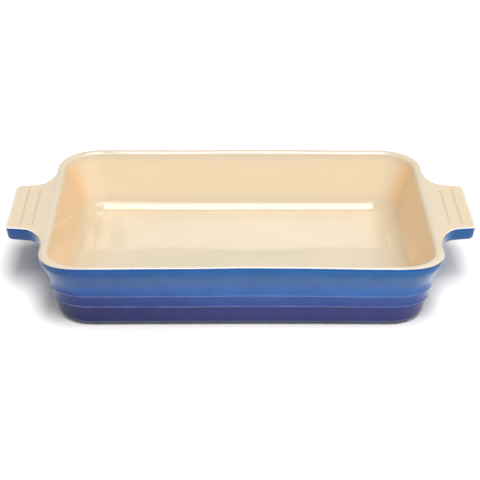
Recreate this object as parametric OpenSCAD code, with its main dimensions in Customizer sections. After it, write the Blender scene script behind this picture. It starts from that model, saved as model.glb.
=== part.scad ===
// Rectangular glazed stoneware baking dish with two tab handles.
//
// Millimetres. The dish stands on z = 0 with its long side along X, and the
// origin is under its centre. A profile is a list of [inset, z] points, where
// the inset is measured inwards from the widest line of the rim. loop_sweep()
// carries a profile round the rounded rectangle of the rim, so the four sides
// and the four corners share it. Each profile takes a depth g below the glazed
// surface: 0 gives the glazed surface and glaze_t gives the clay under it.

/* [Rim] */
// Length over the rim, without the handles
rim_length = 340; // [260:2:400]
// Width over the rim
rim_width = 250; // [240:2:300]
// Height of the rim above the table
height = 62; // [60:1:72]
// Radius of the rim's corners in plan
corner_r = 40; // [36:1:44]
// Width of the rim, from its outside to the well
rim_w = 7.5; // [7:0.25:9]
// Radius of the rim's outer edge
rim_outer_r = 3.5; // [3:0.25:4]

/* [Outer wall] */
// Inset of the wall just under the rim's flare
flare_inset = 8.8; // [8:0.2:9.4]
// Height at which the flare starts
flare_z = 37; // [36:0.5:39]
// Height of the upper ridge line
upper_ridge_z = 33.2; // [32:0.2:34]
// Height of the lower ridge line
lower_ridge_z = 22.4; // [21:0.2:24]
// How far a ridge stands proud of the band under it
ridge_step = 1.4; // [0.8:0.1:1.6]
// Inset of the wall at its lower edge
base_inset = 14.6; // [13.6:0.2:15]
// Radius of the wall's lower edge
base_edge_r = 4.6; // [3.6:0.1:4.8]

/* [Well] */
// Height of the well's floor above the table
floor_z = 9; // [8:0.5:10]
// Radius of the cove between wall and floor
cove_r = 13; // [9:0.5:14]
// Angle by which the well's wall leans out from the vertical
wall_lean = 14.5; // [12:0.5:16]

/* [Foot] */
// Height of the bare clay foot
foot_h = 1.5; // [1.25:0.25:2]
// Width of the foot ring
foot_w = 8; // [6:0.5:9]
// Inset of the foot ring's outer side
foot_inset = 19.5; // [19.5:0.25:20.5]

/* [Handles] */
// How far each handle reaches beyond the rim
handle_reach = 33.5; // [30:0.5:38]
// Width of a handle at its outer end
handle_w = 90; // [80:2:96]
// Drop from the rim's top to a handle's top
handle_drop = 1; // [0.9:0.1:1.2]
// Thickness of a handle at its outer end
tip_thickness = 12; // [10:0.5:13]
// Thickness of a handle near the wall
root_thickness = 17.5; // [15:0.5:18]
// Length of the concave sweep from handle to rim, along the rim
sweep_len = 32; // [24:1:32]
// Length of each grip groove
groove_len = 74; // [50:2:76]

/* [Glaze] */
// Thickness of the glaze coats
glaze_t = 0.6; // [0.5:0.05:0.7]

/* [Hidden] */

clay_colour = "burlywood";
cream_colour = "wheat";
blue_colour = "steelblue";

$fn = 64;
half_l = rim_length / 2;
half_w = rim_width / 2;
side_x = half_l - corner_r;
side_y = half_w - corner_r;

// The cream and the blue glaze meet on the rim's outer edge, at this angle
// above the horizontal.
seam_angle = 38;

// Height of the short slope under each ridge line.
ridge_h = 1.6;

// Chamfer on the foot's two lower edges, and the bare margin inside the foot.
foot_chamfer = 1;
bare_margin = 1.5;

// Handle: how far its sweep reaches from the rim, where it is rooted inside
// the wall, the radius of its corners in plan, the lean of its end face, the
// radius of its end's edges and the drop of its underside into the wall.
tip_x = half_l + handle_reach;
handle_z = height - handle_drop;
sweep_reach = 17;
root_depth = 12;
tip_r = 5;
tip_lean = 2;
end_r = 1.5;
root_drop = 4;

// Grip grooves: distances from the rim, width and depth in the clay, and how
// much of that the glaze fills.
groove_offsets = [11.2, 21.6];
groove_w = 2.6;
groove_depth = 1.2;
groove_fill = 0.5;

// Cutting shapes reach past the faces that they cut by this much.
over = 1;

// ---------------------------------------------------------------- profiles

// Points on an ellipse about c, from angle a0 to a1 in n steps.
function arc(c, rx, ry, a0, a1, n) =
  [for (i = [0:n]) let (a = a0 + (a1 - a0) * i / n) c + [rx * cos(a), ry * sin(a)]];

function round_arc(c, r, a0, a1, n) = arc(c, r, r, a0, a1, n);

function reversed(list) = [for (i = [len(list) - 1:-1:0]) list[i]];

// Rounding of the rim's outer edge. Angles count up from the horizontal.
function rim_edge(g, a0, a1) =
  round_arc([rim_outer_r, height - rim_outer_r], rim_outer_r - g, 180 - a0, 180 - a1, 4);

// Well, from the rim's top down the wall and the cove to the floor.
function well_line(g) =
  let (rim_inner_r = rim_w - rim_outer_r,
       rim_c = [rim_outer_r, height - rim_inner_r],
       cove_z = floor_z + cove_r,
       wall_run = (rim_c[1] - cove_z) * tan(wall_lean),
       cove_x = rim_c[0] + (rim_inner_r + cove_r) / cos(wall_lean) + wall_run)
  concat(round_arc(rim_c, rim_inner_r - g, 90, wall_lean, 5),
         round_arc([cove_x, cove_z], cove_r + g, 180 + wall_lean, 270, 9));

// Outer wall from its lower edge up to the flare, with two ridge lines.
function bands(g) =
  let (taper = (base_inset - flare_inset - 2 * ridge_step) / (flare_z - base_edge_r),
       low = base_inset - taper * lower_ridge_z,
       high = low - ridge_step - taper * (upper_ridge_z - lower_ridge_z))
  concat(round_arc([base_inset + base_edge_r, foot_h - glaze_t + base_edge_r],
                   base_edge_r - g, 270, 180, 6),
         [[low + g, lower_ridge_z - ridge_h],
          [low - ridge_step + g, lower_ridge_z],
          [high + g, upper_ridge_z - ridge_h],
          [high - ridge_step + g, upper_ridge_z]]);

// Flare: an S-curve from the wall out to the widest line of the rim.
function flare(g) =
  let (rise = height - rim_outer_r - flare_z)
  [for (i = [0:9]) let (t = i / 10)
    [flare_inset * (1 - t * t * (3 - 2 * t)) + g, flare_z + rise * t]];

// Whole outer wall, from the foot to the seam of the two glazes.
function outer_line(g) = concat(bands(g), flare(g), rim_edge(g, 0, seam_angle));

// Rim and well, from the seam to the middle of the floor.
function inner_line(g) =
  concat(rim_edge(g, seam_angle, 90), well_line(g), [[corner_r, floor_z - g]]);

// ------------------------------------------------------------------ sweeps

// Turns insets into distances from a corner's axis.
function outwards(profile) = [for (p = profile) [corner_r - p[0], p[1]]];

// One corner of the sweep, over the quarter turn from +X to +Y.
module corner_turn(profile) {
  rotate_extrude(angle = 90) polygon(outwards(profile));
}

// A straight stretch of the sweep, facing +X.
module side_run(profile, length) {
  rotate([90, 0, 0]) linear_extrude(length, center = true) polygon(outwards(profile));
}

// Carries a closed profile round the rounded rectangle of the rim.
module loop_sweep(profile) {
  for (half_turn = [0, 180])
    rotate([0, 0, half_turn]) {
      translate([side_x, side_y, 0]) corner_turn(profile);
      translate([-side_x, side_y, 0]) rotate([0, 0, 90]) corner_turn(profile);
      translate([side_x, 0, 0]) side_run(profile, 2 * side_y);
      translate([0, side_y, 0]) rotate([0, 0, 90]) side_run(profile, 2 * side_x);
    }
}

// The same for a profile that reaches the corners' axes, with the middle
// filled from z0 to z1.
module tray_sweep(profile, z0, z1) {
  loop_sweep(profile);
  translate([-side_x, -side_y, z0]) cube([2 * side_x, 2 * side_y, z1 - z0]);
}

// ----------------------------------------------------------------- handles

// Right-hand handle in plan.
function handle_plan(g) =
  let (edge_y = handle_w / 2,
       sweep_c = [half_l - over + sweep_reach, edge_y + sweep_len],
       tip_c = [tip_x - tip_r, edge_y - tip_r],
       upper = concat([[half_l - root_depth, edge_y + sweep_len]],
                      arc(sweep_c, sweep_reach + g, sweep_len + g, 180, 270, 9),
                      round_arc(tip_c, tip_r - g, 90, 0, 5)))
  concat(upper, reversed([for (p = upper) [p[0], -p[1]]]));

// Right-hand handle seen from the front, as [x, z] points.
function handle_side(g) =
  let (tip_low = handle_z - tip_thickness,
       root_low = handle_z - root_thickness)
  concat([[half_l - root_depth, handle_z - g]],
         round_arc([tip_x - end_r, handle_z - end_r], end_r - g, 90, 0, 4),
         round_arc([tip_x - tip_lean - end_r, tip_low + end_r], end_r - g, 0, -90, 4),
         [[half_l + end_r, root_low + g],
          [half_l - root_drop, root_low - root_drop + g],
          [half_l - root_depth, root_low - root_drop + g]]);

// Right-hand handle seen from its end, as [y, z] points. Its underside rises
// into the rim along each sweep.
function handle_end(g) =
  let (low = handle_z - root_thickness - root_drop + g,
       edge_y = handle_w / 2,
       high = height - rim_outer_r + g)
  [[-edge_y - sweep_len, high], [-edge_y, low], [edge_y, low], [edge_y + sweep_len, high],
   [edge_y + sweep_len, height], [-edge_y - sweep_len, height]];

// Everything inside the right-hand wall's outer face, at depth g.
module wall_fill(g) {
  profile = concat([[corner_r, foot_h]], outer_line(g), rim_edge(g, seam_angle, 90),
                   [[corner_r, height - g]]);
  translate([side_x, 0, 0]) side_run(profile, 2 * side_y);
}

// Right-hand handle, cut to the wall. g is its depth below its own glaze, and
// wall_g the depth below the wall's glaze at which it is rooted.
module handle_block(g, wall_g) {
  difference() {
    intersection() {
      linear_extrude(height) polygon(handle_plan(g));
      rotate([90, 0, 0]) linear_extrude(rim_width, center = true) polygon(handle_side(g));
      rotate([90, 0, 90]) linear_extrude(rim_length) polygon(handle_end(g));
    }
    wall_fill(wall_g);
  }
}

// Grip grooves of the right-hand handle, from height z0 up past the top.
module grooves(width, z0) {
  straight = groove_len - width;
  for (offset = groove_offsets)
    translate([half_l + offset, 0, z0]) {
      translate([-width / 2, -straight / 2, 0]) cube([width, straight, handle_z + over - z0]);
      for (y = [-straight / 2, straight / 2])
        translate([0, y, 0]) cylinder(h = handle_z + over - z0, d = width);
    }
}

// Right-hand handle's clay.
module handle_clay() {
  difference() {
    handle_block(glaze_t, glaze_t);
    grooves(groove_w, handle_z - glaze_t - groove_depth);
  }
}

// Everything above the clay of a handle's top, where its glaze is cream.
module top_zone() {
  translate([half_l - root_depth, -half_w, handle_z - glaze_t])
    cube([root_depth + handle_reach + over, rim_width, glaze_t + over]);
}

// Cream glaze on the right-hand handle's top, pooled in the grooves.
module handle_cream() {
  difference() {
    union() {
      intersection() {
        handle_block(0, glaze_t);
        top_zone();
      }
      intersection() {
        grooves(groove_w, handle_z - glaze_t - groove_depth);
        translate([half_l, -half_w, 0]) cube([handle_reach, rim_width, handle_z]);
      }
    }
    grooves(groove_w - 2 * groove_fill, handle_z - glaze_t - groove_depth + groove_fill);
  }
}

// Blue glaze on the right-hand handle's sides, end and underside.
module handle_blue() {
  difference() {
    handle_block(0, glaze_t);
    top_zone();
    handle_block(glaze_t, 0);
  }
}

// A glaze coat of the dish with the coats of both handles let into it.
module with_handles() {
  difference() {
    children(0);
    both_ends() handle_block(0, 2 * glaze_t);
  }
  both_ends() children(1);
}

module both_ends() {
  children();
  mirror([1, 0, 0]) children();
}

// --------------------------------------------------------------- sub-parts

module clay_body() {
  profile = concat([[corner_r, foot_h]], outer_line(glaze_t), inner_line(glaze_t));
  color(clay_colour) tray_sweep(profile, foot_h, floor_z - glaze_t);
}

module handle_right() {
  color(clay_colour) handle_clay();
}

module handle_left() {
  color(clay_colour) mirror([1, 0, 0]) handle_clay();
}

module foot_ring() {
  inner = foot_inset + foot_w;
  profile = [[foot_inset, foot_h],
             [foot_inset, foot_chamfer],
             [foot_inset + foot_chamfer, 0],
             [inner - foot_chamfer, 0],
             [inner, foot_chamfer],
             [inner, foot_h]];
  color(clay_colour) loop_sweep(profile);
}

module cream_glaze() {
  profile = concat(inner_line(0), reversed(inner_line(glaze_t)));
  color(cream_colour) with_handles() {
    tray_sweep(profile, floor_z - glaze_t, floor_z);
    handle_cream();
  }
}

module blue_glaze() {
  profile = concat(outer_line(0), reversed(outer_line(glaze_t)));
  color(blue_colour) with_handles() {
    loop_sweep(profile);
    handle_blue();
  }
}

module base_glaze() {
  edge = foot_inset + foot_w + bare_margin;
  z0 = foot_h - glaze_t;
  profile = [[edge, z0], [edge, foot_h], [corner_r, foot_h], [corner_r, z0]];
  color(blue_colour) tray_sweep(profile, z0, foot_h);
}

clay_body();
handle_left();
handle_right();
foot_ring();
cream_glaze();
blue_glaze();
base_glaze();
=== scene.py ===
# Rectangular glazed stoneware baking dish: the looks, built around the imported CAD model.
#
# One skin of closed rings runs from the floor of the well up over the rim and the handles and
# down the outer wall. Every ring has one point on each spoke, and the spokes run outwards all
# round the dish. The clay, the handles and the glaze coats are solids cut from that skin.
# Lengths are in millimetres until a mesh is made. Insets are measured inwards from the rim's
# widest line.

import math

import bmesh
import bpy
import numpy as np
from mathutils import Matrix, Vector


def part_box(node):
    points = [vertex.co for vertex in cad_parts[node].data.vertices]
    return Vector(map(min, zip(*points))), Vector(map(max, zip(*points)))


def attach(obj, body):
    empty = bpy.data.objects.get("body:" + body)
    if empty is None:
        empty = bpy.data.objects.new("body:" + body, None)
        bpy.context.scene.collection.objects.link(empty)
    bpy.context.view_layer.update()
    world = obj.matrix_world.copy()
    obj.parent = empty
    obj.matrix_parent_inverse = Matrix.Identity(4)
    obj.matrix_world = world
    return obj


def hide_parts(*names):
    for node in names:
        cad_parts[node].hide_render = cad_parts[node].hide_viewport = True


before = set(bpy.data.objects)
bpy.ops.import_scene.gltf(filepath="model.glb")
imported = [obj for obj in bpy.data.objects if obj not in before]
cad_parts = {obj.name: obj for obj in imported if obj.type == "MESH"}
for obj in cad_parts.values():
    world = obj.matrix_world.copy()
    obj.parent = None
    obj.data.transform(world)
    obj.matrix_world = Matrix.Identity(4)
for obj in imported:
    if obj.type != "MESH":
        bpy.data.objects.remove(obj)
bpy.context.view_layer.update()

MM = 0.001
UP = np.array([0.0, 0.0, 1.0])


def box_mm(node):
    """Lowest and highest corner of a CAD node, in millimetres."""
    low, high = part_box(node)
    return np.array(low) / MM, np.array(high) / MM


# ---------------------------------------------------------------- dimensions

# Taken from the frame: glaze, rim, height, handles, floor and foot.
GLAZE = float(np.ptp([c[2] for c in box_mm("base_glaze")]))
HALF_L, HALF_W = box_mm("clay_body")[1][:2] + GLAZE
TIP_X = box_mm("blue_glaze")[1][0]
HEIGHT = box_mm("cream_glaze")[1][2]
FLOOR_Z = box_mm("cream_glaze")[0][2] + GLAZE
FOOT_OUT = HALF_W - box_mm("foot_ring")[1][1]
FOOT_H = box_mm("foot_ring")[1][2]
BASE_COAT_IN = HALF_W - box_mm("base_glaze")[1][1]

# Rim: corner radius in plan, and the radii of its outer and inner edge in section.
CORNER_R = 38.5
RIM_R = 3.2
RIM_INNER_R = 4.4

# How much the corner radius falls for each millimetre of inset, outside and in the well.
CORNER_SHARE = 0.4
WELL_CORNER_SHARE = 0.75

# Well: slope of the walls, a point they pass through, and the radius at their foot. Below
# LEAN_Z the end walls and the long walls lean further in, by this much at the floor.
WALL_LEAN = math.radians(14.5)
WALL_TOP = (7.5, 60.0)
COVE_R = 13.0
LEAN_Z = 57.0
WELL_LEAN = np.array([5.0, 3.5])
CROWN_IN = (WALL_TOP[0] + (WALL_TOP[1] - HEIGHT + RIM_INNER_R) * math.tan(WALL_LEAN)
            - RIM_INNER_R / math.cos(WALL_LEAN))

# Outer wall: the lip's lower edge, and the foot of the flare as (inset, height).
LIP_Z = 56.0
FLARE = (7.6, 36.6)

# Ridge lines: (inset, height) of each crest, how far the wall steps back below it, the crest's
# radius and its arc in degrees, and the wall's form above and below it, as (inset, height) and
# as (share of the step, depth).
RIDGES = ((7.8, 31.6), (10.2, 20.6))
RIDGE_DROP = (1.4, 1.7)
RIDGE_ROUND = 0.7
RIDGE_ARC = (165, 225)
RIDGE_ABOVE = ((0.1, 2.6), (0.05, 1.2))
RIDGE_BELOW = ((0.6, 1.0), (0.9, 1.6), (1.0, 2.4))

# Lower edge of the coat: inset, radius, slope in degrees and height of its underside.
BASE_IN = 14.0
BASE_R = 7.0
BASE_LEAN = 14.0
COAT_Z = 0.35

# Foot ring: how far its outside stands back from the CAD ring, the radius of its edges, and
# the bare margin between it and the coats.
FOOT_BACK = 3.5
FOOT_EDGE = 0.7
BARE_MARGIN = 0.8

# Handles in plan: half width and corner radius of the tip, lean of the sides, half width of the
# root, the sweep from there into the rim as (reach along X, reach along Y), and the length over
# which a handle's section fades into the rim's.
TIP_Y = 45.0
TIP_R = 7.0
SIDE_LEAN = math.radians(8.2)
ROOT_Y = 46.5
SWEEP = (17.0, 33.0)
HANDLE_FADE = SWEEP[1] - 1.0

# Handles in section: drop of the top and the width it takes, upper and lower edge of the tip,
# lean of its face, and the angle by which the lower edge turns under.
HANDLE_DROP = 1.0
DROP_WIDTH = 8.0
TIP_EDGE_R = 1.5
TIP_LOW_Z = 48.6
TIP_LOW_R = 3.0
TIP_LEAN = 1.4
UNDER_TURN = math.radians(82.0)

# How the underside runs into the wall: pull at its start as a share of the way, and lift over
# the wall at its end. Plain rim first, handle second.
UNDER_PULL = (0.15, 0.4)
ROOT_LIFT = (4.0, 8.0)

# Grooves on the handles: distance outwards from the rim's widest line, half width, depth, and
# where along Y they have faded out.
GROOVES = (11.2, 21.6)
GROOVE_HALF = 1.6
GROOVE_DEPTH = 0.75
GROOVE_END = 38.0
GROOVE_FADE = 2.5

# Where the spokes of a handle's end, side and sweep leave the rim, as shares of its half width,
# and the length of the last stretch in which they turn square to the handle's outline.
FAN = (0.82, 0.89, 0.96)
MEET = 5.0

# How even the spokes are spread on the short sides, from the well's floor to the crown. Clamped
# to 0..1, so that they change on the wall only.
EVEN_RAMP = (1.6, -0.6)

# How far over the rim's edge the cream glaze reaches, on the long and on the short sides.
SEAM_SHARE = (0.44, 0.85)

# How thin the glaze is: over a ridge and round the lower edge. At the end of the cream coat it is thin
# and carries a painted highlight. Last, how thick the blue lies where it starts, which also paints
# shade under the lip.
RIDGE_THIN = (0.4, 0.9, 1.0, 0.7, 0.3)
BASE_THIN = (0.0, 0.1, 0.3, 0.5, 0.6, 0.5, 0.2, 0.0, 0.0, 0.0)
CREAM_END_THIN_AND_HIGHLIGHT = (0.5, 1.0)
BLUE_START_POOL_AND_SHADE = (1.0, 0.8, 0.3)

# Hand-made unevenness: pinch of the long sides as a share, sag of the ends, the height of slow
# waves, which start above the foot, and each wave as (length of one radian, phase).
PINCH = 0.012
CORNER_SAG = 1.4
WOBBLE = 0.28
WOBBLE_ACROSS = 0.7 * WOBBLE
WOBBLE_UP = 0.5 * WOBBLE
RIPPLE_SHARE = 0.5
STILL_Z = 1.0
STILL_FADE = 8.0
END_WAVE = (21.0, 1.1)
END_WAVE_UP = (37.0, math.pi / 2)
SIDE_WAVE = (27.0, 0.4)
SIDE_RIPPLE = (11.0, 2.0)
RISE_WAVE = (23.0, 0.9)
RISE_WAVE_ACROSS = (19.0, math.pi / 2 + 0.3)

# Mesh detail along the rings: steps of each stretch. The tip has fewer in its middle part,
# which is this wide to each side.
CORNER_STEPS = 18
LONG_STEPS = 44
TIP_MIDDLE = 24
TIP_STEPS = (6, 10)
TIP_CORNER_STEPS = 7
HANDLE_SIDE_STEPS = 6
SWEEP_STEPS = 16
SHORT_SIDE_STEPS = 2

# Mesh detail along the spokes: points or steps of each stretch from the well to the wall under
# the flare, points on the rounded edges below, and the longest step down the outer wall.
COVE_POINTS = 12
WALL_STEPS = 9
LIP_POINTS = 9
TOP_POINTS = 60
SHOULDER_STEPS = 24
SIDE_STEPS = 8
UNDER_STEPS = 16
BEND_STEPS = 64
EDGE_POINTS = 5
WALL_STEP = 1.7

# Rings from crown to seam: before, between and after the grooves, and across a groove as shares
# of its half width. Rings from seam to wall: on each stretch of a handle, and how fast their
# gaps grow on the plain rim.
TOP_RINGS = (9, 5, 5)
GROOVE_STEPS = np.array([-1.0, -0.72, -0.45, -0.2, 0.0, 0.2, 0.45, 0.72, 1.0])
OVER_RINGS = (5, 3, 7, 17)
OVER_POWER = 1.15

# A handle's clay starts where its weight passes this. Edges sharper than this stay hard.
HELD_FROM = 0.03
SHARP = math.radians(50.0)

# Heights over which the walls' painted bounce light, a lighter and warmer cream, fades in and out.
WALL_BOUNCE_IN = (11, 26)
WALL_BOUNCE_OUT = (52, 61)

# Painted shade and reflection of the walls, a deeper cream along the foot of the walls: from this far
# inside the rim, over this width, and up to these heights.
WALL_FOOT_SHADE_FROM = 55.0
WALL_FOOT_SHADE_WIDTH = 22.0
WALL_FOOT_SHADE_Z = (11, 18)

# Blue glaze: how far its line of change wanders up and down, and where along X and Z its painted shade
# on the left end fades out.
RAGGED = 1.2
LEFT_SHADE_X = (-160, -10)
LEFT_SHADE_Z = (31, 36)

# Half width of the studio floor in metres, and how far it lies below the dish.
FLOOR_HALF = 9.0
FLOOR_GAP = 0.05

# Studio dome: from and to which height on the unit sphere it fades, and its strength there.
DOME_Z = (0.3, 0.8)
DOME_STRENGTH = (0.58, 0.27)

# Camera, fitted to the photo.
AZIMUTH = math.radians(0.68)
ELEVATION = math.radians(26.5)
ROLL = math.radians(0.28)
AIM = Vector((-0.5, -8.0, 30.0)) * MM
DISTANCE = 1390 * MM
LENS = 117.0
SENSOR = 36.0

# ------------------------------------------------------------------- curves


def arc(centre, radius, start, end, count):
    """Points on an arc from start to end, in degrees, as an array of (inset, z) rows."""
    angle = np.radians(np.linspace(start, end, count))
    return np.stack([centre[0] + radius * np.cos(angle), centre[1] + radius * np.sin(angle)], 1)


def steps(count):
    """Even steps up to 1, without the 0."""
    return np.linspace(0, 1, count + 1)[1:]


def smooth(t):
    """Smooth step from 0 to 1."""
    t = np.clip(t, 0.0, 1.0)
    return t * t * (3.0 - 2.0 * t)


def unit(v):
    """Vectors of the same direction and of length 1."""
    return v / np.maximum(np.linalg.norm(v, axis=-1, keepdims=True), 1e-9)


def mix(a, b, t):
    """From a at 0 to b at 1."""
    return a + (b - a) * t


def bezier(p0, p1, p2, p3, t):
    """Cubic curves, one for each row of the four control points."""
    t = t[:, None]
    return ((1 - t) ** 3 * p0[:, None] + 3 * (1 - t) ** 2 * t * p1[:, None]
            + 3 * (1 - t) * t ** 2 * p2[:, None] + t ** 3 * p3[:, None])


def path_lengths(paths):
    """Length so far at every point of each path. Paths are (paths, points, axes)."""
    gaps = np.linalg.norm(np.diff(paths, axis=1), axis=2)
    return np.concatenate([np.zeros((len(paths), 1)), np.cumsum(gaps, 1)], 1)


def resample(paths, targets):
    """Points at the target lengths along each path."""
    out = np.empty((len(paths), targets.shape[1], 3))
    for i, (path, length, target) in enumerate(zip(paths, path_lengths(paths), targets)):
        for axis in range(3):
            out[i, :, axis] = np.interp(target, length, path[:, axis])
    return out


def refine(rows, step):
    """Puts rows between the given ones, none further apart than the step, without the first."""
    length = path_lengths(rows[None, :, :2])[0]
    stops = [np.linspace(a, b, 1 + math.ceil((b - a) / step))[1:]
             for a, b in zip(length, length[1:])]
    at = np.concatenate(stops)
    return np.stack([np.interp(at, length, column) for column in rows.T], 1)


# ------------------------------------------------------------------- spokes


def handle_stations():
    """From the middle of a short side to its corner: y on the rim, and the handle's outline."""
    sweep_x, sweep_y = SWEEP
    sweep_end = ROOT_Y + sweep_y
    side_y = TIP_Y - TIP_R
    rim_tip, rim_side, rim_sweep = (share * TIP_Y for share in FAN)

    # The tip's straight edge and its corner.
    middle = np.linspace(0, TIP_MIDDLE, TIP_STEPS[0] + 1)[:-1]
    outer = np.linspace(TIP_MIDDLE, side_y, TIP_STEPS[1] + 1)
    rows = [(y * rim_tip / side_y, TIP_X, y) for y in (*middle, *outer)]
    for t in steps(TIP_CORNER_STEPS):
        a = t * (math.pi / 2 - SIDE_LEAN)
        x = TIP_X - TIP_R * (1 - math.cos(a))
        rows.append((mix(rim_tip, rim_side, t), x, side_y + TIP_R * math.sin(a)))

    # The side, and the sweep, which starts where its slope is the side's.
    first = math.atan(math.tan(SIDE_LEAN) * sweep_x / sweep_y)
    root_x = HALF_L + sweep_x * (1 - math.sin(first))
    root_y = sweep_end - sweep_y * math.cos(first)
    side_x, tip_y = rows[-1][1:]
    for t in steps(HANDLE_SIDE_STEPS):
        rows.append((mix(rim_side, rim_sweep, t), mix(side_x, root_x, t), mix(tip_y, root_y, t)))
    for t in steps(SWEEP_STEPS):
        a = mix(first, math.pi / 2, t)
        x = HALF_L + sweep_x * (1 - math.sin(a))
        y = sweep_end - sweep_y * math.cos(a)
        rows.append((y - (root_y - rim_sweep) * (1 - t), x, y))

    # The rest of the short side.
    for y in np.linspace(sweep_end, HALF_W - CORNER_R, SHORT_SIDE_STEPS + 1)[1:]:
        rows.append((y, HALF_L, y))
    return np.array(rows)


def make_spokes():
    """Spokes round the dish, from the right side's front end, anticlockwise.

    A ring with a corner radius r has its points at k * (half size - r) + u * r. Returned are k
    as on the rim, k with even gaps on the short sides, u, the handles' outline, and the spokes
    in the middle of the first two corners.
    """
    half = handle_stations()
    side = np.concatenate([half[:0:-1] * [-1, 1, -1], half])
    corner = np.radians(np.linspace(0, 90, CORNER_STEPS + 1))[1:-1]
    along = np.linspace(1, -1, LONG_STEPS + 1)
    side_one, corner_one, long_one = (np.ones(len(a)) for a in (side, corner, along))

    k_rim = np.concatenate([
        np.stack([side_one, side[:, 0] / side[-1, 0]], 1),
        np.stack([corner_one, corner_one], 1),
        np.stack([along, long_one], 1),
        np.stack([-corner_one, corner_one], 1)])
    k_even = k_rim.copy()
    k_even[:len(side), 1] = np.linspace(-1, 1, len(side))
    u = np.concatenate([
        np.stack([side_one, 0 * side_one], 1),
        np.stack([np.cos(corner), np.sin(corner)], 1),
        np.stack([0 * along, long_one], 1),
        np.stack([-np.sin(corner), np.cos(corner)], 1)])
    outline = np.full((len(u), 2), np.nan)
    outline[:len(side)] = side[:, 1:]

    first_corner = len(side) + len(corner) // 2
    corners = (first_corner, first_corner + len(corner) + len(along))
    whole = [np.concatenate([a, -a]) for a in (k_rim, k_even, u, outline)]
    return *whole, corners


K_RIM, K_EVEN, TURN, OUTLINE, CORNERS = make_spokes()
SPOKES = len(TURN)


def corner_radius(inset, share):
    """Corner radius in plan: concentric on the rim, then falling more slowly."""
    below = max(inset - CROWN_IN, 0.0)
    return CORNER_R - min(inset, CROWN_IN) - share * below


def ring(inset, z, even=1.0, lean=0.0, share=CORNER_SHARE):
    """A closed ring round the dish at that inset and height.

    Even sets how evenly the spokes are spread on the short sides, lean is the share of the
    well's extra lean, and share is how fast the corner radius falls.
    """
    r = corner_radius(inset, share)
    k = mix(K_RIM, K_EVEN, even)
    half = np.array([HALF_L, HALF_W]) - lean * WELL_LEAN
    plan = k * (half - inset - r) + TURN * r
    return np.column_stack([plan, np.full(SPOKES, z)])


# --------------------------------------------------------------------- skin


def well_rings():
    """From the floor's edge up the cove and the wall to the rim's crown."""
    cove_z = FLOOR_Z + COVE_R
    cove_in = (WALL_TOP[0] + (WALL_TOP[1] - cove_z) * math.tan(WALL_LEAN)
               + COVE_R / math.cos(WALL_LEAN))
    slope = math.degrees(WALL_LEAN)
    cove = arc((cove_in, cove_z), COVE_R, 270, 180 + slope, COVE_POINTS)
    lip = arc((CROWN_IN, HEIGHT - RIM_INNER_R), RIM_INNER_R, slope, 90, LIP_POINTS)
    wall = np.linspace(cove[-1], lip[0], WALL_STEPS + 1)[1:-1]
    profile = np.concatenate([cove, wall, lip])

    even = np.clip(np.linspace(*EVEN_RAMP, len(profile)), 0, 1)
    lean = np.clip((LEAN_Z - profile[:, 1]) / (LEAN_Z - FLOOR_Z), 0, 1)
    return [ring(*point, e, more, WELL_CORNER_SHARE)
            for point, e, more in zip(profile, even, lean)]


def outline_at_rim(with_handles):
    """Plan outline, its outward normals and the handle's weight, spoke by spoke.

    The weight is 1 on a handle and 0 on the plain rim.
    """
    plain = ring(0, 0, 0)[:, :2]
    if not with_handles:
        return plain, TURN.copy(), np.zeros(SPOKES)
    on_side = ~np.isnan(OUTLINE[:, 0])
    plan = np.where(on_side[:, None], np.nan_to_num(OUTLINE), plain)
    tangent = np.roll(plan, -1, 0) - np.roll(plan, 1, 0)
    normal = unit(np.stack([tangent[:, 1], -tangent[:, 0]], 1))
    normal = np.where(on_side[:, None], normal, TURN)
    reach = (ROOT_Y + SWEEP[1] - np.abs(plan[:, 1])) / HANDLE_FADE
    weight = np.where(on_side, smooth(reach), 0.0)
    return plan, normal, weight


def with_z(plan, z):
    """Paths in plan, with their heights added."""
    return np.concatenate([plan, np.broadcast_to(z, plan.shape[:2])[..., None]], 2)


def top_paths(edge, normal, top_z, w):
    """From the crown to the start of the outer edge, leaving and arriving square in plan."""
    crown = ring(CROWN_IN, HEIGHT, 0)[:, :2]
    third = np.linalg.norm(edge - crown, axis=1, keepdims=True) / 3
    leave = crown + TURN * third
    meet = edge - normal * np.minimum(third, MEET)
    t = np.linspace(0, 1, TOP_POINTS)
    plan = bezier(crown, leave, meet, edge, t)
    run = np.linalg.norm(plan - plan[:, :1], axis=2)
    handle_z = HEIGHT - (HEIGHT - top_z) * smooth(run / DROP_WIDTH)
    return with_z(plan, mix(mix(HEIGHT, top_z, t), handle_z, w))


def edge_paths(edge, normal, edge_r, top_z):
    """Round the upper edge."""
    a = np.linspace(0, math.pi / 2, SHOULDER_STEPS + 1)[1:]
    plan = edge[:, None] + normal[:, None] * (edge_r * np.sin(a))[..., None]
    return with_z(plan, top_z - edge_r * (1 - np.cos(a)))


def side_paths(plan, normal, from_z, to_z, w):
    """Down the outline's face."""
    t = steps(SIDE_STEPS)
    face = plan[:, None] - normal[:, None] * (TIP_LEAN * w * t)[..., None]
    return with_z(face, mix(from_z, to_z, t))


def under_paths(start, normal, turn, w):
    """Round the lower edge of the handles. Without a handle they stay where they start."""
    low_r = TIP_LOW_R * w
    a = turn * steps(UNDER_STEPS)
    plan = start[:, None, :2] - normal[:, None] * (low_r * (1 - np.cos(a)))[..., None]
    return with_z(plan, start[:, 2:] - low_r * np.sin(a))


def root_paths(start, turn, w):
    """From the lower edge to the wall under the flare."""
    wall = ring(*FLARE, 0)
    inwards = unit(wall[:, :2] - start[:, :2]) * np.sin(turn)
    heading = np.column_stack([inwards, -np.cos(turn)])
    span = np.linalg.norm(wall - start, axis=1, keepdims=True)
    away = start + heading * span * mix(*UNDER_PULL, w)
    lift = wall + UP * mix(*ROOT_LIFT, w)
    return bezier(start, away, lift, wall, steps(BEND_STEPS))


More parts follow.
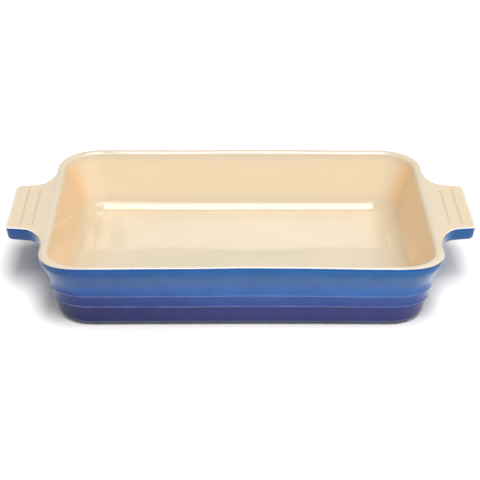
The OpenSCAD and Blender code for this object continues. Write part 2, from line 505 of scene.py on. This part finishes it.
def over_paths(with_handles):
    """Dense paths from the crown over the edge to the wall under the flare.

    Also returned: the index where each stretch ends, the handle's weight, and the share of the
    upper edge that the cream glaze covers.
    """
    plan, normal, weight = outline_at_rim(with_handles)
    w = weight[:, None]
    edge_r = mix(RIM_R, TIP_EDGE_R, w)
    top_z = HEIGHT - HANDLE_DROP * w
    low_z = mix(LIP_Z, TIP_LOW_Z + TIP_LOW_R, w)
    turn = UNDER_TURN * w

    edge = plan - normal * edge_r
    parts = [top_paths(edge, normal, top_z, w), edge_paths(edge, normal, edge_r, top_z),
             side_paths(plan, normal, top_z - edge_r, low_z, w)]
    parts.append(under_paths(parts[-1][:, -1], normal, turn, w))
    parts.append(root_paths(parts[-1][:, -1], turn, w))
    marks = np.cumsum([part.shape[1] for part in parts]) - 1
    seam_share = mix(*SEAM_SHARE, smooth(np.abs(normal[:, 0])))
    return np.concatenate(parts, 1), marks, weight, seam_share


def top_shares():
    """The rings between crown and seam, as shares of the way, close together at the grooves."""
    crown_x = HALF_L - CROWN_IN
    reach = TIP_X - TIP_EDGE_R - crown_x
    tip_seam = reach + SEAM_SHARE[1] * TIP_EDGE_R * math.pi / 2
    inner, outer = ((HALF_L + g - crown_x + GROOVE_STEPS * GROOVE_HALF) / tip_seam
                    for g in GROOVES)
    before, between, after = TOP_RINGS
    return np.concatenate([
        np.linspace(0, inner[0], before + 1)[:-1], inner,
        np.linspace(inner[-1], outer[0], between + 1)[1:-1], outer,
        np.linspace(outer[-1], 1 - TIP_EDGE_R / reach, after + 1)[1:], [1.0]])


def groove_depth(points, weight, top_count):
    """Depth of the grooves from 0 to 1, on the rings before the seam."""
    x = np.abs(points[..., 0])
    y = np.abs(points[..., 1])
    depth = sum(np.clip(1 - np.abs(x - HALF_L - g) / GROOVE_HALF, 0, 1) for g in GROOVES)
    fade = smooth((GROOVE_END - y) / GROOVE_FADE)
    on_top = np.arange(points.shape[1]) < top_count
    return smooth(depth) * fade * (weight[:, None] > 0) * on_top


def over_rings(with_handles):
    """Rings over the rim and the handles, the index of the seam, and the rings' groove depth."""
    paths, marks, weight, seam_share = over_paths(with_handles)
    at = path_lengths(paths)[:, marks]
    seam = at[:, :1] + seam_share[:, None] * (at[:, 1:2] - at[:, :1])
    share = top_shares()

    # Below the seam the rings follow the handle's edges, or are even on the plain rim.
    stops = [seam] + [at[:, i:i + 1] for i in range(1, len(marks))]
    shaped = np.concatenate([mix(a, b, steps(count))
                             for a, b, count in zip(stops, stops[1:], OVER_RINGS)], 1)
    even = seam + (at[:, -1:] - seam) * steps(sum(OVER_RINGS)) ** OVER_POWER
    down = mix(even, shaped, weight[:, None])

    points = resample(paths, np.concatenate([seam * share, down], 1))
    depth = groove_depth(points, weight, len(share))
    points[..., 2] -= GROOVE_DEPTH * depth
    return list(points.transpose(1, 0, 2)), len(share) - 1, list(depth.T)


def wall_profile():
    """Outer wall under the flare down to the coat's edge, as rows of inset, z and thinness."""
    rows = [(*FLARE, 0.0)]
    for (inset, z), drop in zip(RIDGES, RIDGE_DROP):
        crest = arc((inset + RIDGE_ROUND, z), RIDGE_ROUND, *RIDGE_ARC, len(RIDGE_THIN))
        rows += [(inset + back, z + up, 0.0) for back, up in RIDGE_ABOVE]
        rows += [(*point, thin_and_highlight) for point, thin_and_highlight in zip(crest, RIDGE_THIN)]
        rows += [(inset + share * drop, z - down, 0.0) for share, down in RIDGE_BELOW]
    centre = (BASE_IN + BASE_R, COAT_Z + BASE_R)
    lower = arc(centre, BASE_R, 180 + BASE_LEAN, 270, len(BASE_THIN))
    rows += [(*point, thin_and_highlight) for point, thin_and_highlight in zip(lower, BASE_THIN)]
    rows.append((FOOT_OUT + FOOT_BACK - BARE_MARGIN, COAT_Z, 0.0))
    return refine(np.array(rows), WALL_STEP)


def make_skin(with_handles):
    """All rings, the index of the seam ring, the grooves' depth for their painted shade, and the
    glaze's thinness.
    """
    well = well_rings()[:-1]
    over, seam, depth = over_rings(with_handles)
    profile = wall_profile()
    count = len(profile)
    wall = [ring(inset, z, min(1, 2 * i / count)) for i, (inset, z, _) in enumerate(profile)]
    zero = np.zeros(SPOKES)
    # The grooves' depth also paints shade in them.
    pool_and_shade = [zero] * len(well) + depth + [zero] * count
    thin_and_highlight = [zero] * (len(well) + len(over)) + [zero + row[2] for row in profile]
    return np.array(well + over + wall), len(well) + seam, np.array(pool_and_shade), np.array(thin_and_highlight)


def skin_normals(rings):
    """Outward unit normals of the skin at every ring and spoke, averaged from its faces."""
    after = np.roll(rings, -1, 1)
    faces = np.cross(rings[1:] - after[:-1], after[1:] - rings[:-1])
    faces = unit(faces + np.roll(faces, 1, 1))
    total = np.zeros_like(rings)
    total[:-1] += faces
    total[1:] += faces
    return unit(total)


# ------------------------------------------------------------------- solids


def wave(distance, length, phase):
    """A slow wave from -1 to 1."""
    return np.sin(distance / length + phase)


def uneven(points):
    """The dish's small unevenness, as a bend of the space round it."""
    p = np.array(points, float)
    x, y, z = p.T
    along = np.clip(np.abs(x) / HALF_L, 0, 1) ** 2
    rise = smooth(z / HEIGHT)
    free = smooth((z - STILL_Z) / STILL_FADE)
    out = p.copy()
    out[:, 1] -= y * PINCH * (1 - along)
    out[:, 2] -= CORNER_SAG * along * rise
    ripple = wave(x, *SIDE_WAVE) + RIPPLE_SHARE * wave(x, *SIDE_RIPPLE)
    out[:, 0] += WOBBLE * free * wave(y, *END_WAVE) * wave(z, *END_WAVE_UP)
    out[:, 1] += WOBBLE_ACROSS * free * ripple
    out[:, 2] += WOBBLE_UP * free * wave(x, *RISE_WAVE) * wave(y, *RISE_WAVE_ACROSS)
    return out


class Solid:
    """Collects the points and faces of one closed piece."""

    def __init__(self):
        self.points = []
        self.faces = []
        self.looks = {"pool_and_shade": [], "thin_and_highlight": [], "end": []}

    def add(self, points, pool_and_shade=0.0, thin_and_highlight=0.0, end=0.0):
        """Adds points with their looks, and returns their numbers."""
        first = sum(len(p) for p in self.points)
        self.points.append(np.asarray(points, float))
        for label, value in (("pool_and_shade", pool_and_shade), ("thin_and_highlight", thin_and_highlight), ("end", end)):
            self.looks[label].append(np.broadcast_to(value, len(points)))
        return np.arange(first, first + len(points))

    def band(self, a, b, closed=True):
        """Quads between two rings of the same length."""
        last = len(a) if closed else len(a) - 1
        for i in range(last):
            j = (i + 1) % len(a)
            self.faces.append((a[i], a[j], b[j], b[i]))

    def bands(self, rings, closed=True):
        """Quads between each ring and the next."""
        for a, b in zip(rings, rings[1:]):
            self.band(a, b, closed)

    def fill(self, edge, points):
        """Fills a ring with a grid that runs between the middles of its four corners."""
        half = SPOKES // 2
        first, second = CORNERS
        marks = [first, second, first + half, second + half, first + SPOKES]
        sides = [[k % SPOKES for k in range(a, b + 1)] for a, b in zip(marks, marks[1:])]
        back, left = sides[:2]
        front, right = (side[::-1] for side in sides[2:])

        # Columns run along the back and front sides, rows along the left and right sides.
        index = np.zeros((len(left), len(back)), int)
        index[0] = edge[back]
        index[-1] = edge[front]
        index[:, -1] = edge[left]
        index[:, 0] = edge[right]
        u = np.linspace(0, 1, len(back))[None, 1:-1, None]
        v = np.linspace(0, 1, len(left))[1:-1, None, None]
        rows = mix(points[back][None, 1:-1], points[front][None, 1:-1], v)
        columns = mix(points[right][1:-1, None], points[left][1:-1, None], u)
        ends = mix(mix(points[back[0]], points[back[-1]], u),
                   mix(points[front[0]], points[front[-1]], u), v)
        inner = self.add((rows + columns - ends).reshape(-1, 3))
        index[1:-1, 1:-1] = inner.reshape(len(left) - 2, len(back) - 2)
        self.bands(index, closed=False)

    def make_mesh(self, name):
        """The piece as a mesh in metres, with its faces outwards and its looks as attributes."""
        mesh = bpy.data.meshes.new(name)
        points = uneven(np.concatenate(self.points)) * MM
        mesh.from_pydata(points.tolist(), [], [tuple(int(i) for i in f) for f in self.faces])
        work = bmesh.new()
        work.from_mesh(mesh)
        bmesh.ops.recalc_face_normals(work, faces=work.faces)
        work.to_mesh(mesh)
        work.free()
        for label, values in self.looks.items():
            layer = mesh.attributes.new(label, "FLOAT", "POINT")
            layer.data.foreach_set("value", np.concatenate(values).astype(np.float32))
        mesh.shade_smooth()
        mesh.set_sharp_from_angle(angle=SHARP)
        return mesh

    def finish(self, name, material, node):
        """Makes the object, on the dish's body, in place of that CAD node."""
        mesh = self.make_mesh(name)
        mesh.materials.append(material)
        piece = bpy.data.objects.new(name, mesh)
        bpy.context.scene.collection.objects.link(piece)
        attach(piece, "root")
        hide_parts(node)


def coat(name, material, node, outer, inner, pool_and_shade, thin_and_highlight, floor):
    """A glaze coat between the skin and the clay, closed at its edges or by the floor."""
    solid = Solid()
    # end marks the end walls, where the painted bounce light is warmest.
    end = smooth(2 * np.abs(TURN[:, 0]) - 1)
    top = [solid.add(p, deep_and_shaded, t, end) for p, deep_and_shaded, t in zip(outer, pool_and_shade, thin_and_highlight)]
    bottom = [solid.add(p) for p in inner]
    solid.bands(top)
    solid.bands(bottom)
    solid.band(top[-1], bottom[-1])
    if floor:
        solid.fill(top[0], outer[0])
        solid.fill(bottom[0], inner[0])
    else:
        solid.band(top[0], bottom[0])
    solid.finish(name, material, node)


def cream_coat(rings, clay, seam, pool_and_shade, thin_and_highlight):
    """The cream coat, from the floor of the well to the seam."""
    thin_end_and_highlight = thin_and_highlight[:seam + 1].copy()
    # The last rings are thin glaze with a painted highlight.
    thin_end_and_highlight[-len(CREAM_END_THIN_AND_HIGHLIGHT):] = np.array(CREAM_END_THIN_AND_HIGHLIGHT)[:, None]
    coat("liner_glaze", cream_glaze, "cream_glaze", rings[:seam + 1], clay[:seam + 1],
         pool_and_shade[:seam + 1], thin_end_and_highlight, floor=True)


def blue_coat(rings, clay, seam, pool_and_shade, thin_and_highlight):
    """The blue coat, from the seam down to the foot."""
    thick_and_shaded = pool_and_shade[seam:].copy()
    # The first rings lie thick and carry painted shade under the lip.
    thick_and_shaded[:len(BLUE_START_POOL_AND_SHADE)] = np.array(BLUE_START_POOL_AND_SHADE)[:, None]
    coat("outer_glaze", blue_glaze, "blue_glaze", rings[seam:], clay[seam:],
         thick_and_shaded, thin_and_highlight[seam:], floor=False)


def core(name):
    """The dish's clay without its handles."""
    tray = make_skin(with_handles=False)[0]
    tray = tray - GLAZE * skin_normals(tray)
    solid = Solid()
    layers = [solid.add(p) for p in tray]
    solid.bands(layers)
    solid.fill(layers[0], tray[0])
    solid.fill(layers[-1], tray[-1])
    solid.finish(name, bare_clay, "clay_body")


def handle_clay(name, side, clay, node):
    """A handle's clay: cross-sections along Y, closed by a face inside the wall."""
    weight = outline_at_rim(with_handles=True)[2]
    first = len(well_rings()) - 1
    last = len(clay) - 1 - len(wall_profile())
    held = [s for s in range(SPOKES) if weight[s] > HELD_FROM and clay[first, s, 0] * side > 0]
    solid = Solid()
    loops = [solid.add(clay[first:last + 1, s]) for s in held]
    solid.bands(loops)
    solid.faces += [tuple(loops[0]), tuple(loops[-1])]
    solid.finish(name, bare_clay, node)


def foot(name):
    """The bare foot ring, with rounded lower edges."""
    outer = FOOT_OUT + FOOT_BACK
    inner = BASE_COAT_IN - BARE_MARGIN
    outside = arc((outer + FOOT_EDGE, FOOT_EDGE), FOOT_EDGE, 180, 270, EDGE_POINTS)
    inside = arc((inner - FOOT_EDGE, FOOT_EDGE), FOOT_EDGE, 270, 360, EDGE_POINTS)
    profile = [(outer, FOOT_H), *outside, *inside, (inner, FOOT_H)]
    solid = Solid()
    rings = [solid.add(ring(inset, z)) for inset, z in profile]
    solid.bands(rings + rings[:1])
    solid.finish(name, bare_clay, "foot_ring")


def base_coat(name):
    """The glaze inside the foot ring, with a rounded lower edge."""
    edge = arc((BASE_COAT_IN + GLAZE, COAT_Z + GLAZE), GLAZE, 180, 270, EDGE_POINTS)
    solid = Solid()
    rings = [solid.add(ring(inset, z)) for inset, z in edge]
    solid.bands(rings)
    solid.fill(rings[0], ring(*edge[0]))
    solid.fill(rings[-1], ring(*edge[-1]))
    solid.finish(name, blue_glaze, "base_glaze")


# ---------------------------------------------------------------- materials


def srgb(red, green, blue):
    """A colour from 0 to 255 as linear RGBA."""
    def linear(c):
        c /= 255
        return c / 12.92 if c <= 0.04045 else ((c + 0.055) / 1.055) ** 2.4
    return linear(red), linear(green), linear(blue), 1.0


# Cream glaze: the floor of the well and its patches, the walls' painted bounce light, the painted
# shade in the grooves and along the foot of the walls, the painted highlight at its thin edge, and its
# flecks.
CREAM_DULL = srgb(193, 182, 161)
CREAM_BRIGHT = srgb(198, 186, 164)
# Painted bounce light on the walls, warmest on the end walls.
CREAM_PATCH = srgb(198, 180, 152)
CREAM_WALL_BOUNCE = srgb(215, 198, 169)
CREAM_END_WALL_BOUNCE = srgb(220, 182, 138)
# Painted shade and reflection of the walls along their foot.
CREAM_WALL_FOOT_SHADE = srgb(190, 166, 130)
# Painted shade in the grooves.
CREAM_GROOVE_SHADE = srgb(170, 146, 116)
# Painted highlight along the coat's thin edge.
CREAM_EDGE_HIGHLIGHT = srgb(228, 234, 236)
CREAM_FLECK = srgb(150, 116, 82)

# Blue glaze: from the foot to the rim as (share of height, colour), and where it is different: painted
# shade on its left end, flecks, paler where it breaks over an edge, and darker where it starts, lying
# thick with painted shade under the lip.
BLUE_FADE = (
    (0.01, srgb(30, 35, 86)), (0.06, srgb(34, 40, 96)), (0.16, srgb(40, 45, 104)),
    (0.30, srgb(36, 45, 108)), (0.33, srgb(32, 55, 124)), (0.47, srgb(36, 70, 138)),
    (0.52, srgb(36, 86, 152)), (0.60, srgb(38, 90, 158)), (0.76, srgb(44, 87, 141)),
    (0.86, srgb(18, 82, 140)), (1.0, srgb(4, 76, 142)))
# Painted shade on the left end.
BLUE_LEFT_SHADE = (0.2, 0.28, 0.55, 1.0)
BLUE_FLECK = srgb(24, 36, 88)
BLUE_EDGE = srgb(126, 142, 190)
# Thick glaze with painted shade under the lip.
BLUE_POOL_AND_SHADE = srgb(26, 62, 112)

CLAY_DARK = srgb(176, 150, 118)
CLAY_LIGHT = srgb(198, 174, 142)
CLAY_GROG = srgb(112, 88, 66)

FLOOR_DULL = (0.965, 0.94, 0.9, 1)
FLOOR_BRIGHT = (0.975, 0.95, 0.915, 1)


class Look:
    """A material on the Principled shader, with short calls for its nodes."""

    def __init__(self, name, **constants):
        self.material = bpy.data.materials.new(name)
        self.material.use_nodes = True
        self.tree = self.material.node_tree
        self.shader = self.tree.nodes["Principled BSDF"]
        for label, value in constants.items():
            self.shader.inputs[label.replace("_", " ")].default_value = value
        self.place = self.node("ShaderNodeTexCoord").outputs["Object"]

    def feed(self, made, key, value):
        """Links a socket to a node's input, or sets the input to a value."""
        if isinstance(value, bpy.types.NodeSocket):
            self.tree.links.new(value, made.inputs[key])
        else:
            made.inputs[key].default_value = value

    def node(self, kind, inputs=None, **settings):
        """Adds a node with those inputs and settings."""
        made = self.tree.nodes.new(kind)
        for key, value in settings.items():
            setattr(made, key, value)
        for key, value in (inputs or {}).items():
            self.feed(made, key, value)
        return made

    def noise(self, size, detail=2.0, roughness=0.5):
        """Noise whose features are about that many millimetres across, from 0 to 1."""
        return self.node("ShaderNodeTexNoise", {
            "Vector": self.place, "Scale": 1 / (size * MM), "Detail": detail,
            "Roughness": roughness}).outputs["Fac"]

    def attribute(self, name):
        """One of the looks that a Solid stores with its points."""
        return self.node("ShaderNodeAttribute", attribute_name=name).outputs["Fac"]

    def along(self, axis):
        """The place along an axis, in millimetres."""
        split = self.node("ShaderNodeSeparateXYZ", {"Vector": self.place})
        return self.math("DIVIDE", split.outputs[axis], MM)

    def beyond(self, axis, distance):
        """How far the point lies beyond that distance from the middle."""
        return self.math("SUBTRACT", self.math("ABSOLUTE", self.along(axis), 0.0), distance)

    def spread(self, value, low, high, to_low=0.0, to_high=1.0):
        """Maps low..high to to_low..to_high, clamped."""
        return self.node("ShaderNodeMapRange", {
            "Value": value, "From Min": low, "From Max": high,
            "To Min": to_low, "To Max": to_high}).outputs["Result"]

    def math(self, operation, a, b):
        """One step of arithmetic on sockets or numbers."""
        return self.node("ShaderNodeMath", {0: a, 1: b}, operation=operation).outputs[0]

    def blend(self, factor, a, b, kind="MIX"):
        """Colour a at factor 0 and b at 1. The mix node's colour inputs are 6 and 7."""
        inputs = {0: factor, 6: a, 7: b}
        return self.node("ShaderNodeMix", inputs, data_type="RGBA", blend_type=kind).outputs[2]

    def ramp(self, factor, stops):
        """A colour ramp through stops of (position, colour)."""
        made = self.node("ShaderNodeValToRGB", {"Fac": factor})
        elements = made.color_ramp.elements
        while len(elements) < len(stops):
            elements.new(1.0)
        for element, (position, colour) in zip(elements, stops):
            element.position = position
            element.color = colour
        return made.outputs["Color"]

    def bump(self, height, strength, distance, normal=None):
        """A normal bent by that height, on top of another bump where one is given."""
        inputs = {"Height": height, "Strength": strength, "Distance": distance * MM}
        if normal is not None:
            inputs["Normal"] = normal
        return self.node("ShaderNodeBump", inputs).outputs["Normal"]

    def set(self, **links):
        """Feeds the shader's inputs."""
        for label, socket in links.items():
            self.feed(self.shader, label.replace("_", " "), socket)


def paint_wall_bounce(look, colour):
    """Painted bounce light: lighter, warmer cream on the well's walls, warmest on the end walls."""
    z = look.along("Z")
    wall_bounce = look.math("MULTIPLY", look.spread(z, *WALL_BOUNCE_IN),
                      look.spread(z, *WALL_BOUNCE_OUT, 1.0, 0.0))
    # The painted bounce light is warmest on the end walls.
    ends = look.spread(look.attribute("end"), 0.0, 1.0, 0.12, 0.95)
    colour = look.blend(wall_bounce, colour, CREAM_WALL_BOUNCE)
    return look.blend(look.math("MULTIPLY", wall_bounce, ends), colour, CREAM_END_WALL_BOUNCE)


def paint_wall_foot_shade(look, colour):
    """Painted shade and reflection of the walls: deeper cream along the foot of the walls."""
    to_edge = look.math("MAXIMUM", look.beyond("X", HALF_L - WALL_FOOT_SHADE_FROM),
                        look.beyond("Y", HALF_W - WALL_FOOT_SHADE_FROM))
    low = look.spread(look.along("Z"), *WALL_FOOT_SHADE_Z, 0.5, 0.0)
    painted_shade = look.math("MULTIPLY", look.spread(to_edge, 0, WALL_FOOT_SHADE_WIDTH), low)
    return look.blend(painted_shade, colour, CREAM_WALL_FOOT_SHADE)


def make_cream_glaze():
    """Cream glaze: even and glossy, with painted bounce light on the walls, painted shade in the
    grooves and along the foot of the walls, and a painted highlight at its thin edge.
    """
    look = Look("cream_glaze", IOR=1.52)
    cloud = look.spread(look.noise(55, detail=3.0), 0.35, 0.65)
    patch = look.spread(look.noise(9, detail=4.0), 0.45, 0.75, 0.0, 0.2)
    fleck = look.spread(look.noise(1.6), 0.70, 0.78, 0.0, 0.18)
    # Painted shade in the grooves, by their depth.
    groove_shade = look.spread(look.attribute("pool_and_shade"), 0.1, 1.0, 0.0, 0.4)
    # Painted highlight: whiter cream where the coat ends on the rim's outer edge, where the glaze is
    # also thin.
    edge = look.spread(look.attribute("thin_and_highlight"), 0.0, 1.0, 0.0, 0.7)

    colour = look.blend(cloud, CREAM_DULL, CREAM_BRIGHT)
    colour = look.blend(patch, colour, CREAM_PATCH)
    colour = paint_wall_bounce(look, colour)
    colour = paint_wall_foot_shade(look, colour)
    colour = look.blend(fleck, colour, CREAM_FLECK)
    colour = look.blend(groove_shade, colour, CREAM_GROOVE_SHADE)
    colour = look.blend(edge, colour, CREAM_EDGE_HIGHLIGHT)

    waves = look.bump(look.noise(60, detail=1.0), strength=0.1, distance=1.6)
    look.set(Base_Color=colour, Roughness=look.spread(look.noise(30), 0.3, 0.7, 0.02, 0.04),
             Normal=look.bump(look.noise(3.5), strength=0.03, distance=0.25, normal=waves))
    return look.material


def fade_blue(look):
    """The blue from foot to rim, with an uneven line of change, cloudy, and with painted shade on the
    left.
    """
    ragged = look.spread(look.noise(40), 0.3, 0.7, -RAGGED, RAGGED)
    level = look.math("ADD", look.along("Z"), ragged)
    colour = look.ramp(look.spread(level, 0.0, HEIGHT), BLUE_FADE)
    cloud = look.spread(look.noise(14, detail=5.0, roughness=0.6), 0.25, 0.75, 0.86, 1.12)
    grey = look.node("ShaderNodeCombineColor", {"Red": cloud, "Green": cloud, "Blue": cloud})
    colour = look.blend(1.0, colour, grey.outputs["Color"], "MULTIPLY")
    # Painted shade on the left end, strongest low down.
    left = look.math("MULTIPLY", look.spread(look.along("X"), *LEFT_SHADE_X, 1.0, 0.0),
                     look.spread(look.along("Z"), *LEFT_SHADE_Z, 1.0, 0.45))
    return look.blend(left, colour, BLUE_LEFT_SHADE, "MULTIPLY")


def make_blue_glaze():
    """Blue glaze: bright at the rim, indigo at the base, paler where it breaks over an edge, darker
    where it starts with thick glaze and painted shade under the lip, and with painted shade on its
    left end.
    """
    look = Look("blue_glaze", IOR=1.4)
    fleck = look.spread(look.noise(1.3), 0.68, 0.8, 0.0, 0.25)
    broken = look.math("MULTIPLY", look.attribute("thin_and_highlight"),
                       look.spread(look.noise(16, detail=3.0), 0.3, 0.6, 0.2, 0.5))
    # Glaze lying thick where the coat starts, and painted shade under the lip.
    painted_shade = look.spread(look.attribute("pool_and_shade"), 0.0, 1.0, 0.0, 0.75)

    colour = look.blend(fleck, fade_blue(look), BLUE_FLECK)
    colour = look.blend(broken, colour, BLUE_EDGE)
    colour = look.blend(painted_shade, colour, BLUE_POOL_AND_SHADE)

    waves = look.bump(look.noise(30, detail=1.0), strength=0.3, distance=1.2)
    look.set(Base_Color=colour, Roughness=look.spread(look.noise(24), 0.3, 0.7, 0.07, 0.16),
             Normal=look.bump(look.noise(2.6), strength=0.12, distance=0.25, normal=waves))
    return look.material


def make_bare_clay():
    """Unglazed stoneware: sandy, speckled and slightly rough."""
    look = Look("bare_clay", IOR=1.45)
    grog = look.spread(look.noise(0.9, detail=3.0), 0.62, 0.74)
    colour = look.blend(look.noise(18, detail=4.0), CLAY_DARK, CLAY_LIGHT)
    colour = look.blend(grog, colour, CLAY_GROG)
    look.set(Base_Color=colour, Roughness=look.spread(look.noise(4, detail=4.0), 0.2, 0.8, 0.75, 0.95),
             Normal=look.bump(look.noise(1.2, detail=4.0), strength=0.5, distance=0.3))
    return look.material


cream_glaze = make_cream_glaze()
blue_glaze = make_blue_glaze()
bare_clay = make_bare_clay()

# ------------------------------------------------------------------- pieces

skin, seam, pool_and_shade, thin_and_highlight = make_skin(with_handles=True)
clay = skin - GLAZE * skin_normals(skin)

cream_coat(skin, clay, seam, pool_and_shade, thin_and_highlight)
blue_coat(skin, clay, seam, pool_and_shade, thin_and_highlight)
core("clay_core")
handle_clay("handle_left_clay", -1, clay, "handle_left")
handle_clay("handle_right_clay", 1, clay, "handle_right")
foot("foot_ring_clay")
base_coat("base_glaze_coat")

# ---------------------------------------------------------- floor and light


def make_floor():
    """A plain pale floor under the dish."""
    mesh = bpy.data.meshes.new("floor")
    work = bmesh.new()
    bmesh.ops.create_grid(work, x_segments=8, y_segments=8, size=FLOOR_HALF)
    work.to_mesh(mesh)
    work.free()
    look = Look("floor_paint", Roughness=0.9, Specular_IOR_Level=0.2)
    look.set(Base_Color=look.blend(look.noise(60, detail=3.0), FLOOR_DULL, FLOOR_BRIGHT))
    mesh.materials.append(look.material)
    floor = bpy.data.objects.new("floor", mesh)
    floor.location.z = -FLOOR_GAP * MM
    bpy.context.scene.collection.objects.link(floor)


def softbox(name, place, aim, size, radiance):
    """A rectangular area light, given by its radiance. Its lengths are in metres."""
    light = bpy.data.lights.new(name, "AREA")
    light.shape = "RECTANGLE"
    light.size, light.size_y = size
    light.energy = radiance * math.pi * size[0] * size[1]
    lamp = bpy.data.objects.new(name, light)
    lamp.location = place
    lamp.rotation_euler = (Vector(aim) - Vector(place)).to_track_quat("-Z", "Y").to_euler()
    bpy.context.scene.collection.objects.link(lamp)


def make_world():
    """A soft white studio dome, brightest low down all round."""
    world = bpy.data.worlds.new("studio")
    world.use_nodes = True
    nodes = world.node_tree.nodes
    links = world.node_tree.links
    place = nodes.new("ShaderNodeTexCoord")
    split = nodes.new("ShaderNodeSeparateXYZ")
    ramp = nodes.new("ShaderNodeMapRange")
    for key, value in zip(("From Min", "From Max", "To Min", "To Max"), DOME_Z + DOME_STRENGTH):
        ramp.inputs[key].default_value = value
    links.new(place.outputs["Generated"], split.inputs[0])
    links.new(split.outputs["Z"], ramp.inputs["Value"])
    links.new(ramp.outputs["Result"], nodes["Background"].inputs["Strength"])
    nodes["Background"].inputs["Color"].default_value = (1, 1, 1, 1)
    bpy.context.scene.world = world


make_floor()
make_world()
softbox("overhead", place=(0.15, -0.7, 3.0), aim=(0.15, -0.7, 0), size=(1.15, 2.4), radiance=8.7)
softbox("strip", place=(0, -1.72, 2.46), aim=(0, 0, 0), size=(2.4, 0.16), radiance=9.0)
softbox("front_fill", place=(1.0, -1.8, 3.0), aim=(0, 0, 0), size=(4.2, 1.6), radiance=3.5)

# ------------------------------------------------------------------- camera


def make_camera():
    """The photo's camera: a long lens, a little left of the middle and slightly rolled."""
    forward = Vector((math.sin(AZIMUTH) * math.cos(ELEVATION),
                      math.cos(AZIMUTH) * math.cos(ELEVATION), -math.sin(ELEVATION)))
    level = Vector((math.cos(AZIMUTH), -math.sin(AZIMUTH), 0))
    above = level.cross(forward)
    right = level * math.cos(ROLL) + above * math.sin(ROLL)
    camera = bpy.data.objects.new("camera", bpy.data.cameras.new("camera"))
    camera.data.lens = LENS
    camera.data.sensor_width = SENSOR
    turned = Matrix((right, right.cross(forward), -forward)).transposed().to_4x4()
    camera.matrix_world = Matrix.Translation(AIM - forward * DISTANCE) @ turned
    bpy.context.scene.collection.objects.link(camera)
    bpy.context.scene.camera = camera


make_camera()
bpy.context.scene.view_settings.view_transform = "Standard"
